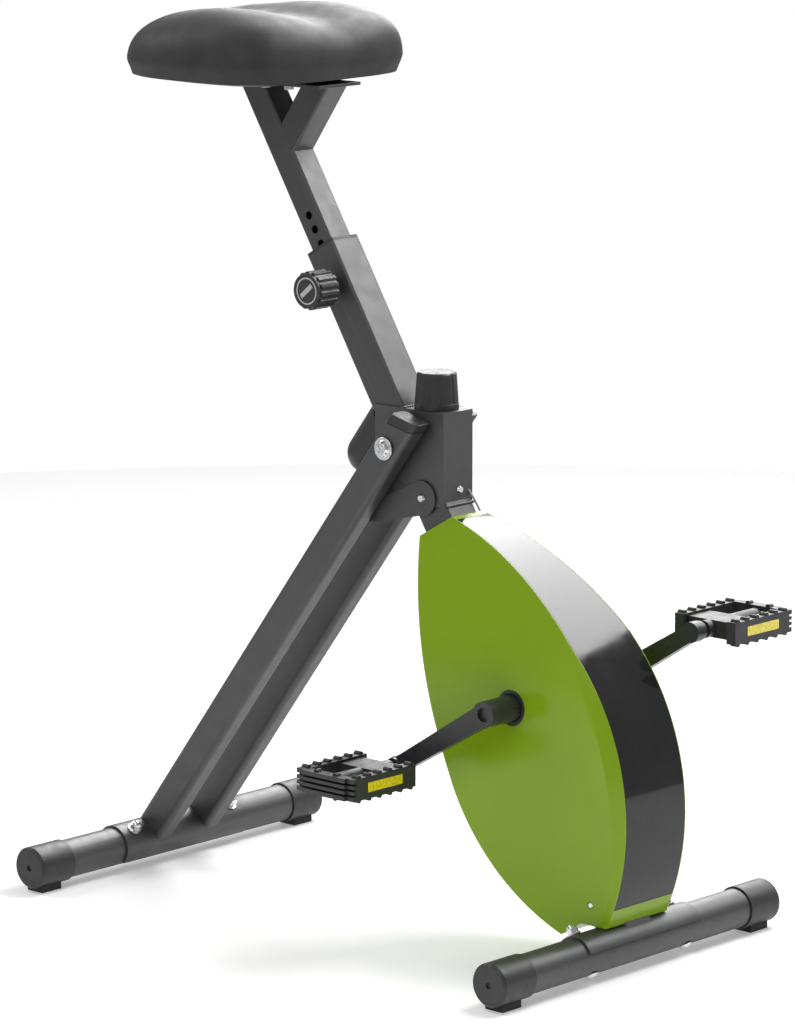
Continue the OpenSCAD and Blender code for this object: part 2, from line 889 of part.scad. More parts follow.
module tension_knob() {
  color([0.08, 0.08, 0.08]) place() translate([-322, 0, head_z1 + 0.5]) difference() {
    union() {
      cylinder(r = 28, h = 7);
      translate([0, 0, 7]) cylinder(r1 = 27.5, r2 = 25, h = 37);
      translate([0, 0, 44]) cylinder(r1 = 25, r2 = 23, h = 2);
    }
    for (a = [0:36:324])
      rotate(a) translate([33.2, 0, 9]) rotate([0, -3.5, 0]) cylinder(r = 7, h = 40);
    translate([0, 0, -1]) cylinder(r = 4.02, h = 25);
  }
}

module knob_shaft() {
  color([0.55, 0.55, 0.57]) place() translate([-322, 0, head_z1]) {
    translate([0, 0, -17]) cylinder(r = 4, h = 40);
    translate([0, 0, -17]) cylinder(r = 12, h = 12);
  }
}

module pop_pin_knob() {
  color([0.08, 0.08, 0.08]) place() on_spine(pin_s) difference() {
    union() {
      translate([0, -44, 0]) rotate([90, 0, 0]) fluted(24.5, 31, 2.4, 14);
      bar_y(22, -79, -74);
      bar_y(13, -44, -40.5);
    }
    bar_y(5.02, -70, -30);
    ring_cut();
  }
}

// shallow ring and bar on the knob's face
module ring_cut() {
  difference() {
    bar_y(17.5, -80, -78.2);
    bar_y(15, -81, -78);
  }
  rotate([0, 40, 0]) translate([-11, -80, -3.5]) cube([22, 1.8, 7]);
}

module pop_pin() {
  color([0.7, 0.7, 0.72]) place() on_spine(pin_s) {
    bar_y(5, -68, -post_w / 2 - gap - 1);
    cone_y(5, 4, -post_w / 2 - gap - 1 - e, -post_w / 2 - gap);
  }
}

// ---- rear legs ----

module leg_tube() {
  difference() {
    on_leg() box_tube(leg_w, leg_t, leg_r, 2, 12, leg_s + 60);
    translate([-wheelbase, 0, foot_z]) bar_y(weld_s + 0.05, -60, 60);
    leg_top_cut(0);
    translate([pivot_x, 0, pivot_z]) bar_y(8, -60, 60);
  }
}

// everything above the slanted end of a leg
module leg_top_cut(d) {
  translate([pivot_x + 21, -60, pivot_z + 28 + d]) rotate([0, 14, 0])
    translate([-80, 0, 0]) cube([160, 120, 90]);
}

module leg_right() {
  color([0.16, 0.16, 0.17]) place() translate([0, -leg_y, 0]) leg_tube();
}

module leg_left() {
  color([0.16, 0.16, 0.17]) place() translate([0, leg_y, 0]) leg_tube();
}

module leg_plugs() {
  color([0.09, 0.09, 0.09]) place() for (s = [-1, 1]) translate([0, s * leg_y, 0]) {
    difference() {
      intersection() {
        on_leg() box_solid(leg_w, leg_t, leg_r, leg_s - 10, leg_s + 70);
        leg_top_cut(0);
      }
      leg_top_cut(14);
    }
  }
}

module leg_bushes() {
  color([0.6, 0.6, 0.62]) place() translate([pivot_x, 0, pivot_z]) both_sides()
    difference() {
      bar_y(7.95, leg_in - 0.2, leg_out + 0.7);
      bar_y(5 + run, leg_in - 1, leg_out + 1);
    }
}

// a flat ear inside each leg reaches forward beside the head, 0.5 mm clear of it
module lock_ears() {
  color([0.13, 0.13, 0.14]) place() both_sides()
    xz_slab(head_hw + 0.5, leg_in) difference() {
      union() {
        translate([ear_x, ear_z]) circle(ear_r);
        polygon([
          [ear_x, ear_z + ear_r], [ear_x - 8, ear_z + ear_r - 1.5],
          [-380, 547], [-412, 536], [-424, 520], [-414, 508], [-392, 511],
          [ear_x, ear_z - ear_r]
        ]);
      }
      translate([ear_x, ear_z]) circle(3.05);
    }
}

module ear_bolts() {
  color([0.75, 0.76, 0.78]) place() translate([ear_x, 0, ear_z]) both_sides() {
    bar_y(3, head_hw + gap + 0.2, leg_in + 1);
    cone_y(5.5, 4, leg_in, leg_in + 3.4);
  }
}

// ---- seat ----

module post_envelope(extra) {
  on_spine() box_solid(post_w + extra, post_w + extra, 3, 700, 1400);
}

module seat_post() {
  color([0.16, 0.16, 0.17]) place() difference() {
    on_spine() box_tube(post_w, post_w, 3, 2, post_s0, 1300);
    translate([-900, -100, fork_z]) cube([600, 200, 300]);
    for (k = [-3:5])
      on_spine(pin_s + k * hole_pitch) bar_y(5.4, -40, 0);
  }
}

module fork_brace() {
  color([0.16, 0.16, 0.17]) place() difference() {
    translate([brace_x, 0, 1050]) rotate([0, brace_lean, 0])
      box_tube(post_w, post_w, 3, 2, -125, 60);
    translate([-900, -100, fork_z]) cube([600, 200, 300]);
    post_envelope(0.02);
    on_spine(500) translate([-200, -100, 0]) cube([200, 200, 900]);
  }
}

module seat_plate() {
  color([0.12, 0.12, 0.13]) place() difference() {
    translate([-650, -38, fork_z]) cube([164, 76, 4]);
    seat_bolt_at(0) cylinder(r = 4.2, h = 20, center = true);
  }
}

module seat_bolt_at(z) {
  for (x = [-588, -548], y = [-28, 28]) translate([x, y, fork_z + z]) children();
}

module seat_bolts() {
  color([0.7, 0.7, 0.72]) place() seat_bolt_at(-5) {
    cylinder(r = 6.5, h = 5, $fn = 6);
    cylinder(r = 4, h = 12);
  }
}

// the saddle's plan, dr larger all round
module seat_outline(dr, z, h) {
  for (s = [-1, 1], d = seat_discs)
    translate([d[0], s * (saddle_hw - d[1]), z]) cylinder(r = d[2] + dr, h = h, $fn = 32);
}

module saddle_pan() {
  color([0.05, 0.05, 0.05]) place() difference() {
    hull() seat_outline(-12, fork_z + 4, 6);
    seat_bolt_at(0) cylinder(r = 4.2, h = 8.6);
  }
}

module saddle_cushion() {
  z0 = fork_z + 10;
  color([0.2, 0.2, 0.2]) place() hull() {
    seat_outline(-2, z0, 6);
    seat_outline(5, z0 + 14, 32);
    for (s = [-1, 1], d = seat_domes)
      translate([d[0], s * d[1], z0 + saddle_t - d[3] - 0.65 * d[2]])
        scale([1, 1, 0.65]) sphere(d[2], $fn = 32);
  }
}

// ---- drawing ----

spine_tube();
head_box();
mast_bush();
rear_bumper();
stop_rod();
pivot_sleeve();
pivot_bolt();
head_screw();
front_foot_tube();
front_saddle_plate();
front_end_caps();
front_foot_pads();
front_carriage_bolts();
front_acorn_nuts();
shell_right();
shell_left();
front_trim();
shell_screws();
hub_rings();
crank_bearings();
flywheel_bearings();
magnet_plate();
tension_cable();
drive_belt();
leg_right();
leg_left();
leg_plugs();
leg_bushes();
lock_ears();
ear_bolts();
rear_foot_tube();
rear_saddle_plate();
rear_end_caps();
rear_foot_pads();
rear_carriage_bolts();
rear_acorn_nuts();
seat_post();
fork_brace();
seat_plate();
seat_bolts();
saddle_pan();
saddle_cushion();
pop_pin_knob();
pop_pin();
tension_knob();
knob_shaft();
crank_axle();
crank_arm_right();
crank_arm_left();
drive_pulley();
pedal_spindles();
pedal_right();
pedal_left();
reflectors_right();
reflectors_left();
flywheel();
flywheel_shaft();
small_pulley();
magnet_bracket();
magnets();
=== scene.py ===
"""Looks of the folding desk exercise bike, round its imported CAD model: metres, +X forward, +Z up."""
import json
import math
import bmesh
import bpy
import numpy as np
from mathutils import Matrix, Vector

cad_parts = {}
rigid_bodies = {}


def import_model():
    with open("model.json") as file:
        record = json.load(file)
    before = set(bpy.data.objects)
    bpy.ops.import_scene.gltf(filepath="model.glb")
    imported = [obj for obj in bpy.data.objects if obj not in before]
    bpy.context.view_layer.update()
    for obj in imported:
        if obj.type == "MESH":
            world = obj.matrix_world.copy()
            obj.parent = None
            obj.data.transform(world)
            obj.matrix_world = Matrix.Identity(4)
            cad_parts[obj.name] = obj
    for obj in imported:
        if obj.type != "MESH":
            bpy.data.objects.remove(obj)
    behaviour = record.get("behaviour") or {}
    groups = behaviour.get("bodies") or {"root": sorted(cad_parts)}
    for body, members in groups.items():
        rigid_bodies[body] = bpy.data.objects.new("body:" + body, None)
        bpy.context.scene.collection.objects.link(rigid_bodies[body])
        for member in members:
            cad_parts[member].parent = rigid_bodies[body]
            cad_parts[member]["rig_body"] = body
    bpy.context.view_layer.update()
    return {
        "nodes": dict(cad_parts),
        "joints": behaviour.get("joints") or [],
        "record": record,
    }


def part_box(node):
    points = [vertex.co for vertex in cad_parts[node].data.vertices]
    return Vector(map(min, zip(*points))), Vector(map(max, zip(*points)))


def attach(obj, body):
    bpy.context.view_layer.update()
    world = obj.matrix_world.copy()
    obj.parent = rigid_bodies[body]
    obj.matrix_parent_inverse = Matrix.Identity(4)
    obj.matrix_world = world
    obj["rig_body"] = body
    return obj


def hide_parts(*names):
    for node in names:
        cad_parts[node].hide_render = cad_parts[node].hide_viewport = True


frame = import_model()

scene = bpy.context.scene
MM = 0.001

# ---- places worked out from the frame ----

FOOT_LOW, FOOT_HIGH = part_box("front_foot_tube")
FRONT_X = (FOOT_LOW.x + FOOT_HIGH.x) / 2
FOOT_Z = (FOOT_LOW.z + FOOT_HIGH.z) / 2
JOINTS = {j["name"]: j for j in frame["joints"]}
SPINE_UP = Vector(JOINTS["seat_height"]["axis"])
SPINE_OUT = Vector((SPINE_UP.z, 0, -SPINE_UP.x))
CRANK = Vector(JOINTS["crank_spin"]["pos_m"])
BODY_OF = {o.name: o["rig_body"] for o in frame["nodes"].values()}


def local(x, y, z):
    """A point given in millimetres from the front foot's axis on the floor."""
    return Vector((x * MM + FRONT_X, y * MM, z * MM))


def spine(s, n=0.0, y=0.0):
    """A point in millimetres: s up the spine from the front foot axis, n out of its front face."""
    p = Vector((FRONT_X, y * MM, FOOT_Z))
    return p + SPINE_UP * s * MM + SPINE_OUT * n * MM


def curve(p, t):
    """A point on the smooth curve through four points, t of the way from the second to the third."""
    return 0.5 * (
        2 * p[1] + (p[2] - p[0]) * t + (2 * p[0] - 5 * p[1] + 4 * p[2] - p[3]) * t**2
        + (3 * p[1] - p[0] - 3 * p[2] + p[3]) * t**3
    )


# ---- materials ----

# sockets of a Mix node that mixes colours
MIX_FACTOR, MIX_FIRST, MIX_SECOND, MIX_RESULT = 0, 6, 7, 2


class Shader:
    """A Principled material with helpers for its procedural parts."""

    def __init__(self, name, **fixed):
        self.mat = bpy.data.materials.new(name)
        self.mat.use_nodes = True
        self.tree = self.mat.node_tree
        self.bsdf = self.tree.nodes["Principled BSDF"]
        self.where = self.node("ShaderNodeTexCoord").outputs["Object"]
        for key, value in fixed.items():
            self.bsdf.inputs[key.replace("_", " ")].default_value = value

    def node(self, kind, **values):
        """A new node; each value sets the input of that name, or else the setting of that name."""
        n = self.tree.nodes.new(kind)
        for key, value in values.items():
            if key in n.inputs:
                n.inputs[key].default_value = value
            else:
                setattr(n, key, value)
        return n

    def link(self, a, b):
        self.tree.links.new(a, b)

    def noise(self, scale, detail=3.0, stretch=None):
        """A noise pattern from 0 to 1; stretch scales it by a factor along each axis."""
        n = self.node("ShaderNodeTexNoise", Scale=scale, Detail=detail)
        where = self.where
        if stretch:
            turn = self.node("ShaderNodeMapping")
            turn.inputs["Scale"].default_value = stretch
            self.link(self.where, turn.inputs["Vector"])
            where = turn.outputs["Vector"]
        self.link(where, n.inputs["Vector"])
        return n.outputs["Fac"]

    def ramp(self, fac, stops):
        """Colours that follow a pattern, from stops of place and colour."""
        r = self.node("ShaderNodeValToRGB")
        self.link(fac, r.inputs["Fac"])
        ramp = r.color_ramp
        while len(ramp.elements) < len(stops):
            ramp.elements.new(0.5)
        for element, (place, colour) in zip(ramp.elements, stops):
            element.position = place
            element.color = (*colour, 1)
        return r.outputs["Color"]

    def span(self, fac, low, high, start=0.3, end=0.7):
        """Maps a pattern's range, start to end, to the range low to high."""
        m = self.node("ShaderNodeMapRange")
        m.inputs["From Min"].default_value = start
        m.inputs["From Max"].default_value = end
        m.inputs["To Min"].default_value = low
        m.inputs["To Max"].default_value = high
        self.link(fac, m.inputs["Value"])
        return m.outputs["Result"]

    def colour(self, base, vary, scale, wear=0.0, worn=None):
        """Mottled base colour, with lighter wear where the surface bends out sharply."""
        dark = [c * (1 - vary) for c in base]
        light = [min(1, c * (1 + vary)) for c in base]
        out = self.ramp(self.noise(scale, 4), [(0.32, dark), (0.68, light)])
        if wear:
            edge = self.node("ShaderNodeNewGeometry").outputs["Pointiness"]
            mask = self.span(edge, 0.0, wear, 0.52, 0.6)
            mix = self.node("ShaderNodeMix", data_type="RGBA")
            self.link(mask, mix.inputs[MIX_FACTOR])
            self.link(out, mix.inputs[MIX_FIRST])
            worn_colour = self.ramp(self.noise(scale * 3), [(0, worn), (1, light)])
            self.link(worn_colour, mix.inputs[MIX_SECOND])
            out = mix.outputs[MIX_RESULT]
        self.link(out, self.bsdf.inputs["Base Color"])
        return self

    def rough(self, low, high, scale):
        """Roughness that varies from low to high in patches."""
        self.link(self.span(self.noise(scale, 2), low, high), self.bsdf.inputs["Roughness"])
        return self

    def bump(self, height, depth, strength=1.0):
        """Adds a relief of that depth in metres over any relief already there."""
        b = self.node("ShaderNodeBump", Strength=strength, Distance=depth)
        self.link(height, b.inputs["Height"])
        old = self.bsdf.inputs["Normal"]
        if old.is_linked:
            self.link(old.links[0].from_socket, b.inputs["Normal"])
        self.link(b.outputs["Normal"], old)
        return self

    def cells(self, scale, feature="F1"):
        """A pattern of cells, for grains and prisms."""
        v = self.node("ShaderNodeTexVoronoi", Scale=scale, feature=feature)
        self.link(self.where, v.inputs["Vector"])
        return v.outputs["Distance"]


def powder_coat():
    s = Shader("powder_coat", IOR=1.68)
    s.colour((0.029, 0.029, 0.030), 0.12, 9, wear=0.3, worn=(0.08, 0.08, 0.085))
    s.rough(0.40, 0.50, 60)
    s.bump(s.noise(1100, 2), 0.00012, 0.5)
    return s.bump(s.noise(70, 2), 0.0002, 0.25).mat


def moulded_black():
    s = Shader("moulded_black", IOR=1.48)
    s.colour((0.024, 0.024, 0.025), 0.18, 14, wear=0.3, worn=(0.06, 0.06, 0.06))
    s.rough(0.38, 0.52, 90)
    s.bump(s.cells(1600), 0.00008, 0.5)
    return s.bump(s.noise(160, 3), 0.0001, 0.3).mat


def soft_rubber():
    s = Shader("soft_rubber")
    s.colour((0.018, 0.018, 0.018), 0.3, 40)
    s.rough(0.7, 0.85, 120)
    return s.bump(s.noise(900, 3), 0.0001, 0.6).mat


def green_gloss():
    s = Shader("green_gloss", Coat_Weight=0.08, Coat_Roughness=0.03, IOR=1.36)
    s.colour((0.21, 0.345, 0.006), 0.05, 5)
    s.rough(0.16, 0.26, 30)
    s.bump(s.noise(160, 2), 0.00004, 0.25)
    return s.bump(s.noise(14, 2), 0.0005, 0.12).mat


def black_gloss():
    s = Shader("black_gloss", IOR=1.4)
    s.colour((0.014, 0.014, 0.015), 0.3, 8)
    s.rough(0.05, 0.09, 30)
    return s.bump(s.noise(12, 2), 0.0004, 0.08).mat


def vinyl():
    s = Shader("saddle_vinyl", IOR=1.4, Specular_IOR_Level=0.28)
    s.colour((0.040, 0.040, 0.041), 0.12, 26)
    s.rough(0.46, 0.56, 50)
    s.bump(s.cells(520, "SMOOTH_F1"), 0.00022, 0.55)
    return s.bump(s.noise(1500, 2), 0.00006, 0.5).mat


def bright_zinc():
    s = Shader("bright_zinc", Metallic=1.0)
    s.colour((0.72, 0.73, 0.75), 0.1, 220)
    s.rough(0.16, 0.32, 260)
    return s.bump(s.noise(500, 2), 0.00005, 0.4).mat


def turned_steel():
    s = Shader("turned_steel", Metallic=1.0)
    s.colour((0.46, 0.46, 0.48), 0.12, 90)
    s.rough(0.24, 0.42, 140)
    return s.bump(s.noise(60, 2, (1, 30, 1)), 0.00006, 0.4).mat


def cast_iron():
    s = Shader("cast_iron", Metallic=0.9)
    s.colour((0.22, 0.22, 0.23), 0.2, 60)
    s.rough(0.35, 0.6, 110)
    return s.bump(s.noise(420, 3), 0.0002, 0.5).mat


def crank_paint():
    s = Shader("crank_paint", IOR=1.5)
    s.colour((0.026, 0.026, 0.028), 0.15, 20, wear=0.4, worn=(0.09, 0.09, 0.1))
    s.rough(0.26, 0.38, 80)
    return s.bump(s.noise(700, 2), 0.0001, 0.35).mat


def reflector():
    s = Shader("reflector", Coat_Weight=1.0, Coat_Roughness=0.05)
    prisms = s.cells(340)
    stops = [(0.1, (0.93, 0.82, 0.02)), (0.75, (0.72, 0.55, 0.004))]
    s.link(s.ramp(prisms, stops), s.bsdf.inputs["Base Color"])
    s.rough(0.18, 0.3, 200)
    return s.bump(prisms, 0.0006, 0.6).mat


def cable_sheath():
    s = Shader("cable_sheath")
    s.colour((0.32, 0.33, 0.34), 0.12, 90)
    s.rough(0.35, 0.5, 200)
    return s.bump(s.noise(600, 2, (1, 1, 4)), 0.00008, 0.4).mat


def pale_mark():
    s = Shader("pale_mark")
    s.colour((0.42, 0.42, 0.42), 0.12, 300)
    s.rough(0.4, 0.55, 300)
    return s.bump(s.noise(900, 2), 0.00006, 0.4).mat


def studio_floor():
    s = Shader("studio_floor", IOR=1.3, Emission_Color=(1, 1, 1, 1), Emission_Strength=0.27)
    s.colour((0.86, 0.86, 0.86), 0.01, 2)
    s.rough(0.75, 0.85, 6)
    return s.bump(s.noise(40, 3), 0.0003, 0.1).mat


FINISH = {
    "frame_paint": powder_coat(), "black_plastic": moulded_black(), "pad_rubber": soft_rubber(),
    "belt_rubber": soft_rubber(), "zinc": bright_zinc(), "bare_steel": turned_steel(),
    "shell_green": green_gloss(), "gloss_black": black_gloss(), "cable_grey": cable_sheath(),
    "saddle_vinyl": vinyl(), "crank_paint": crank_paint(), "reflector_yellow": reflector(),
    "flywheel_iron": cast_iron(),
}
MARK = pale_mark()
SLOT_OF = {p["node"]: p["material_slot"] for p in frame["record"]["subparts"]}


# ---- mesh helpers ----

# lengths in metres: points nearer than the first or second become one, and the third marks slivers
SAME_POINT = 1e-6
SAME_CAD_POINT = 2e-5
SLIVER = 1e-5
FLAT_DEGREES = 0.6


def smooth(mesh, angle=38):
    """Smooth shading, with an edge kept sharp where faces meet at more than the angle."""
    mesh.shade_smooth()
    mesh.set_sharp_from_angle(angle=math.radians(angle))


def piece(name, mesh, body, slot, replaced=(), material=None):
    """Puts a mesh in the scene as a piece that rides on a body, with that slot's finish."""
    obj = bpy.data.objects.new(name, mesh)
    scene.collection.objects.link(obj)
    mesh.materials.clear()
    mesh.materials.append(material or FINISH[slot])
    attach(obj, body)
    if replaced:
        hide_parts(*replaced)
    return obj


def rounded_edges(obj, width, segments=2, angle=32):
    """Rounds every sharp edge and keeps the flats flat."""
    bevel = obj.modifiers.new("rounded edges", "BEVEL")
    bevel.width = width
    bevel.segments = segments
    bevel.limit_method = "ANGLE"
    bevel.angle_limit = math.radians(angle)
    bevel.use_clamp_overlap = True
    bevel.harden_normals = False
    flats = obj.modifiers.new("flat faces", "WEIGHTED_NORMAL")
    flats.keep_sharp = True


def refined(node, edge):
    """A CAD node's shape with clean faces and edges rounded by that many mm, in place of the node."""
    mesh = frame["nodes"][node].data.copy()
    mesh.name = node + "_mesh"
    bm = bmesh.new()
    bm.from_mesh(mesh)
    bmesh.ops.remove_doubles(bm, verts=bm.verts, dist=SAME_CAD_POINT)
    bmesh.ops.dissolve_limit(
        bm, angle_limit=math.radians(FLAT_DEGREES), verts=bm.verts, edges=bm.edges
    )
    bm.to_mesh(mesh)
    bm.free()
    smooth(mesh)
    obj = piece(node + "_look", mesh, BODY_OF[node], SLOT_OF[node], [node])
    rounded_edges(obj, edge * MM)


def grid_mesh(name, rings, cap_ends=False):
    """Quads between successive rings of points, each ring running on from its last to its first."""
    bm = bmesh.new()
    rows = [[bm.verts.new(p) for p in ring] for ring in rings]
    count = len(rows[0])
    for a, b in zip(rows, rows[1:]):
        for k in range(count):
            m = (k + 1) % count
            bm.faces.new([a[k], a[m], b[m], b[k]])
    if cap_ends:
        bm.faces.new(rows[0][::-1])
        bm.faces.new(rows[-1])
    bmesh.ops.remove_doubles(bm, verts=bm.verts, dist=SAME_POINT)
    bmesh.ops.dissolve_degenerate(bm, dist=SAME_POINT, edges=bm.edges)
    bmesh.ops.recalc_face_normals(bm, faces=bm.faces)
    mesh = bpy.data.meshes.new(name)
    bm.to_mesh(mesh)
    bm.free()
    return mesh


# a weld bead's step in metres from point to point, and its two waves' turns in radians a step
BEAD_STEP = 1.4 * MM
BEAD_WAVE, SLOW_WAVE = 2.1, 0.9


def tube_mesh(name, points, radius, sides=12, ripple=0.0):
    """A round tube along points, with its ends closed; ripple gives it the waves of a weld bead."""
    points = [Vector(p) for p in points]
    rings = []
    side = None
    for i, p in enumerate(points):
        a = points[max(0, i - 1)]
        b = points[min(len(points) - 1, i + 1)]
        along = (b - a).normalized()
        if side is None:
            side = along.orthogonal().normalized()
        side = (side - along * side.dot(along)).normalized()
        up = along.cross(side)
        wave = ripple * math.sin(i * BEAD_WAVE) + 0.5 * ripple * math.sin(i * SLOW_WAVE)
        r = radius * (1 + wave)
        ring = []
        for k in range(sides):
            t = 2 * math.pi * k / sides
            ring.append(p + (side * math.cos(t) + up * math.sin(t)) * r)
        rings.append(ring)
    return grid_mesh(name, rings, cap_ends=True)


def ring_mesh(name, centre, axis, inner, outer, low, high, count=72):
    """A flat ring round an axis, in metres, from low to high along it."""
    axis = axis.normalized()
    u = axis.orthogonal().normalized()
    v = axis.cross(u)
    rings = []
    for k in range(count + 1):
        t = 2 * math.pi * k / count
        out = u * math.cos(t) + v * math.sin(t)
        corners = [(inner, low), (outer, low), (outer, high), (inner, high)]
        rings.append([centre + out * r + axis * h for r, h in corners])
    return grid_mesh(name, rings)


# ---- drive shell ----

# in millimetres: half widths, heights (z, LOW) and distances up the spine (S)
SHELL_HALF = 66.0
STRIP_HALF = 57.0
SHELL_LOW = 62.0
NOTCH_S = 40.4
TOP_S = 567.0
TRIM_LOW_Z = 86.0
TRIM_TOP_S = 561.0
TRIM_HALF = 56.0
TRIM_DEPTH = 2.0
TRIM_GAP = 0.15
TRIM_END_GAP = 0.25
TRIM_EDGE = 1.0
RECESS_GAP = 0.2
WALL = 3.0
SEAM = 0.15
MAST_HOLE_HALF = 25.6
HUB_HOLE_RADIUS = 22.5
HUB_CUT_Y = (55.0, 75.0)
SCREW_RECESS_RADIUS = 5.0
SCREW_SINK = 1.2
SCREW_CLEAR = 5
# screws of the right half, -1, and the left, in the side view: x, z
SHELL_SCREWS = {-1: [(-14, 88)], 1: [(-14, 88), (-262, 452), (-212, 190), (-40, 330)]}
# arcs of the side view, in millimetres from the front foot axis: centre x, centre z, radius
FRONT_LOW_ARC = (-264, 190, 302)
FRONT_HIGH_ARC = (-393, 71.5, 477.2)
REAR_LOW_ARC = (39, 325, 301)
REAR_HIGH_ARC = (780, 635, 1104.2)
# arcs of the front view: radius above and below the widest level
WIDEST_Z = 280.0
SWELL_HIGH = 889.0
SWELL_LOW = 3400.0
LEAN = math.atan2(-SPINE_UP.x, SPINE_UP.z)


def to_sn(x, z):
    """Side view point to distances along and out of the spine."""
    z -= FOOT_Z / MM
    return -x * math.sin(LEAN) + z * math.cos(LEAN), x * math.cos(LEAN) + z * math.sin(LEAN)


def from_sn(s, n):
    """Distances along and out of the spine to a side view point."""
    x = -s * math.sin(LEAN) + n * math.cos(LEAN)
    return x, FOOT_Z / MM + s * math.cos(LEAN) + n * math.sin(LEAN)


def meet(low, high):
    """s where two arcs that touch inside one another meet."""
    (xa, za, ra), (xb, zb, _) = low, high
    away = Vector((xa - xb, za - zb)).normalized()
    return to_sn(xa + away.x * ra, za + away.y * ra)[0]


FRONT_MEET = meet(FRONT_LOW_ARC, FRONT_HIGH_ARC)
REAR_MEET = meet(REAR_LOW_ARC, REAR_HIGH_ARC)


def front_n(s, inset):
    """n of the shell's front edge, moved in by inset."""
    x, z, r = FRONT_LOW_ARC if s < FRONT_MEET else FRONT_HIGH_ARC
    cs, cn = to_sn(x, z)
    return cn + math.sqrt(max(0, (r - inset) ** 2 - (s - cs) ** 2))


def rear_n(s, inset):
    """n of the shell's rear edge, moved in by inset."""
    x, z, r = REAR_LOW_ARC if s < REAR_MEET else REAR_HIGH_ARC
    cs, cn = to_sn(x, z)
    return cn - math.sqrt(max(0, (r - inset) ** 2 - (s - cs) ** 2))


def half_width(z, inset):
    """Half the shell's width at a height, moved in by inset."""
    r = SWELL_HIGH if z > WIDEST_Z else SWELL_LOW
    return SHELL_HALF - r + math.sqrt((r - inset) ** 2 - (z - WIDEST_Z) ** 2)


def bottom_s(inset):
    """s of the front lower corner."""
    x, z, r = FRONT_LOW_ARC
    low = SHELL_LOW + inset
    return to_sn(x + math.sqrt((r - inset) ** 2 - (low - z) ** 2), low)[0]


def trim_foot_s():
    """s of the trim's lower end."""
    x, z, r = FRONT_LOW_ARC
    return to_sn(x + math.sqrt(r**2 - (TRIM_LOW_Z - z) ** 2), TRIM_LOW_Z)[0]


# how many slices the shell has below the trim, up to its rear notch, along the trim and above it
SLICES = (5, 3, 120, 3)
BOTTOM_GAP = 0.02


def levels(inset):
    """Slices along the spine, doubled where the outline steps: s, if trimmed, if by the bottom."""
    low, foot = bottom_s(inset), trim_foot_s()
    notch, top = NOTCH_S + inset, TOP_S - inset
    below, to_notch, along, above = SLICES
    out = [(s, False, True) for s in np.linspace(low + BOTTOM_GAP, foot, below)]
    out += [(s, True, True) for s in np.linspace(foot, notch, to_notch)]
    out += [(s, True, False) for s in np.linspace(notch, TRIM_TOP_S, along)]
    start = min(TRIM_TOP_S, top - 0.5)
    return out + [(s, False, False) for s in np.linspace(start, top, above)]


# where a slice's points lie, as shares of the strip's half width and of the shoulder
FRONT_SHARES = (0, 0.3, 0.6, 0.85, 1)
SHOULDER_SHARES = (0.25, 0.5, 0.75, 1)
SHOULDER_END = len(FRONT_SHARES) + 2 + len(SHOULDER_SHARES) - 1
SIDE_STEPS = 36
REAR_STEPS = 8


def section(s, inset, trimmed, by_bottom):
    """Half a slice through the shell, from the front seam round the side to the rear seam: (n, y)."""
    nf = front_n(s, inset)
    nr = rear_n(s, inset)
    if by_bottom:
        nr = (SHELL_LOW + inset - FOOT_Z / MM - s * math.cos(LEAN)) / math.sin(LEAN)
        nr = min(nr, nf)
    wf = half_width(from_sn(s, nf)[1], inset)
    strip = min(STRIP_HALF - inset, wf)
    # the shoulder falls back 2 mm for each mm it goes out, until it meets the side
    ns, ws = nf, wf
    for _ in range(4):
        ns = front_n(s, inset + 2 * max(0, ws - strip)) if ws > strip else nf
        ns = max(ns, nr)
        ws = max(strip, half_width(from_sn(s, ns)[1], inset))
    recess = TRIM_DEPTH + RECESS_GAP if trimmed and inset == 0 else 0.0
    trim = min(TRIM_HALF + TRIM_GAP, strip - TRIM_EDGE)
    points = [(nf - recess, SEAM + (trim - SEAM) * t) for t in FRONT_SHARES]
    points += [(nf, trim), (nf, strip)]
    points += [(nf + (ns - nf) * t, strip + (ws - strip) * t) for t in SHOULDER_SHARES]
    for t in np.linspace(0, 1, SIDE_STEPS + 1)[1:]:
        n = ns + (nr - ns) * t
        points.append((n, half_width(from_sn(s, n)[1], inset)))
    wr = points[-1][1]
    points += [(nr, wr + (SEAM - wr) * t) for t in np.linspace(0, 1, REAR_STEPS + 1)[1:]]
    return [(min(n, ns) if i >= SHOULDER_END else n, y) for i, (n, y) in enumerate(points)]


def shell_point(s, n, y):
    """A point of the shell, from millimetres up and out of the spine and to the side."""
    x, z = from_sn(s, n)
    return local(x, y, z)


